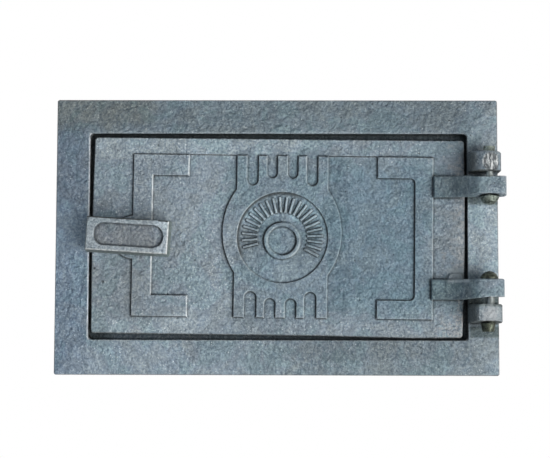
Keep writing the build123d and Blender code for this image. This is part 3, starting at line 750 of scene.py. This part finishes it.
def handle_marks(coat):
    """The handle's face rubbed bright by hands, its sides in dirt and painted shade, its pocket dull."""
    n, place = coat.n, coat.place
    level = n.axes(place)["Y"]
    worn = n.times(n.ramp(level, *HANDLE_FACE), n.ramp(n.noise(place, *HANDLE_NOISE), *HANDLE_RANGE))
    speck = n.noise(place, *SPECK_NOISE)
    rubbed = n.mix(n.ramp(speck, *SPECK_RANGE), HANDLE_METAL_DARK, HANDLE_METAL_LIGHT)
    coat.paint(worn, rubbed, share=0.55)
    coat.emboss(speck, SPECK_DEPTH)
    coat.rough = n.math("SUBTRACT", coat.rough, n.times(worn, HANDLE_POLISH))

    outer = n.outside(n.region(place, *WITHIN_THE_RIM))
    handle_sides(coat, outer)
    handle_rim(coat, outer)
    pocket = n.times(n.ramp(level, *POCKET_BELOW_FACE), n.ramp(level, *POCKET_ABOVE_BACK))
    coat.tint(pocket, POCKET_SHADE)


def rivet_steel(name, shift):
    """Dark forged steel, lighter on the upper rivet, with a painted highlight where the shank shows
    between strap and lug.
    """
    material, n = new_material(name)
    place, moved = object_millimetres(n, shift)
    scale = n.noise(moved, *STEEL_NOISE)
    forged = n.mix(n.ramp(scale, *STEEL_RANGE), STEEL_DARK, STEEL_LIGHT)
    coat = Coat(n, place, forged, n.bevel(STEEL_ROUNDING), n.ramp(scale, *STEEL_ROUGHNESS))
    upright = n.axes(place)["Z"]
    coat.tint(n.ramp(upright, *UPPER_RIVET), UPPER_RIVET_LIGHT)
    coat.tint(n.ramp(upright, *LOWER_RIVET), LOWER_RIVET_SHADE)
    height = n.math("ABSOLUTE", upright)
    shank = n.times(n.ramp(height, *SHANK_START), n.ramp(height, *SHANK_END))
    # painted highlight on the shank in the gap
    coat.paint(shank, SHANK_HIGHLIGHT, share=0.6)
    coat.emboss(scale, STEEL_DEPTH)
    coat.finish(Metallic=0.6)
    return material


def dress(nodes, material):
    """Gives CAD nodes one material in every slot."""
    for node in nodes:
        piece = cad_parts[node]
        piece.data.materials.clear()
        piece.data.materials.append(material)


def white_room():
    """A white surround for the eye and for reflections, and an even soft light for the rest."""
    world = bpy.data.worlds.new("room")
    world.use_nodes = True
    bpy.context.scene.world = world
    n = Nodes(world.node_tree)
    rays = n.add("ShaderNodeLightPath").outputs
    seen = n.most(rays["Is Camera Ray"], rays["Is Glossy Ray"], rays["Is Transmission Ray"])
    plain = n.add("ShaderNodeBackground", {"Color": ROOM_COLOUR, "Strength": ROOM_STRENGTH}).outputs[0]
    white = n.add("ShaderNodeBackground", {"Color": WHITE, "Strength": 1.0}).outputs[0]
    both = n.add("ShaderNodeMixShader", {0: seen, 1: plain, 2: white}).outputs[0]
    n.add("ShaderNodeOutputWorld", {"Surface": both})


def pale_floor():
    """A pale floor well below the door, which the photograph's low camera does not see."""
    bpy.ops.mesh.primitive_plane_add(size=FLOOR_SIZE, location=(0, 0, FLOOR_Z))
    floor = bpy.context.object
    floor.name = "floor"
    material, n = new_material("floor_pale")
    paint = n.add("ShaderNodeBsdfDiffuse", {"Color": FLOOR_PAINT}).outputs[0]
    seen = n.add("ShaderNodeLightPath").outputs["Is Camera Ray"]
    glow = n.add("ShaderNodeEmission", {"Strength": n.times(seen, FLOOR_GLOW)}).outputs[0]
    both = n.add("ShaderNodeAddShader", {0: paint, 1: glow}).outputs[0]
    n.add("ShaderNodeOutputMaterial", {"Surface": both})
    floor.data.materials.append(material)


def lamp(name, place, size, watts, colour):
    """A square soft light at a place, turned to the middle of the door."""
    data = bpy.data.lights.new(name, "AREA")
    data.shape = "SQUARE"
    data.size = size
    data.energy = watts
    data.color = colour
    light = bpy.data.objects.new(name, data)
    bpy.context.scene.collection.objects.link(light)
    light.location = place
    light.rotation_euler = (-Vector(place)).to_track_quat("-Z", "Y").to_euler()
    light.visible_camera = False


def photo_camera():
    """The photograph's viewpoint: a little below the middle of the door, looking up."""
    data = bpy.data.cameras.new("camera")
    data.sensor_width = SENSOR_WIDTH
    data.lens = SENSOR_WIDTH * FOCAL_PIXELS / PHOTO_WIDTH
    data.clip_start = NEAR_CLIP
    camera = bpy.data.objects.new("camera", data)
    bpy.context.scene.collection.objects.link(camera)
    upright = Matrix.Rotation(math.radians(90), 4, "X")
    pitch = Matrix.Rotation(math.radians(CAMERA_PITCH), 4, "X")
    yaw = Matrix.Rotation(math.radians(CAMERA_YAW), 4, "Z")
    roll = Matrix.Rotation(math.radians(CAMERA_ROLL), 4, "Y")
    camera.matrix_world = Matrix.Translation(CAMERA_PLACE) @ yaw @ pitch @ roll @ upright
    bpy.context.scene.camera = camera


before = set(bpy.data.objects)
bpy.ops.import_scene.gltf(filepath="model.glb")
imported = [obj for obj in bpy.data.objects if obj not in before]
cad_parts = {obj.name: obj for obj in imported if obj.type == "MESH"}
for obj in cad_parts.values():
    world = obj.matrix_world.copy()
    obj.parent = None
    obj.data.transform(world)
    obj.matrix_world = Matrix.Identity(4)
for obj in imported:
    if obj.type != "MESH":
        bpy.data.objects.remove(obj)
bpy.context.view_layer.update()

frame_iron = cast_iron("frame_iron", linear(128, 143, 156), shift=(11.0, 3.0, 29.0), marks=frame_marks)
leaf_iron = cast_iron("leaf_iron", linear(130, 144, 157), shift=(71.0, 43.0, 5.0), marks=leaf_marks)
latch_iron = cast_iron("latch_iron", linear(128, 141, 152), shift=(23.0, 91.0, 61.0), marks=handle_marks)
steel = rivet_steel("rivet_steel", shift=(5.0, 17.0, 11.0))
dress(["frame"], frame_iron)
dress(["door_leaf"], leaf_iron)
dress(["latch_handle", "latch_tongue"], latch_iron)
dress(["upper_hinge_pin", "lower_hinge_pin"], steel)

white_room()
pale_floor()
lamp("key", place=(2.35, -2.30, -1.15), size=2.6, watts=166.0, colour=(1.0, 0.985, 0.955))
lamp("behind", place=(-0.4, 2.2, 2.2), size=2.0, watts=100.0, colour=(1.0, 0.99, 0.97))
lamp("sky", place=(-1.6, -0.9, 0.25), size=1.20, watts=5.0, colour=(0.50, 0.74, 1.0))
photo_camera()

bpy.context.scene.view_settings.view_transform = "Standard"
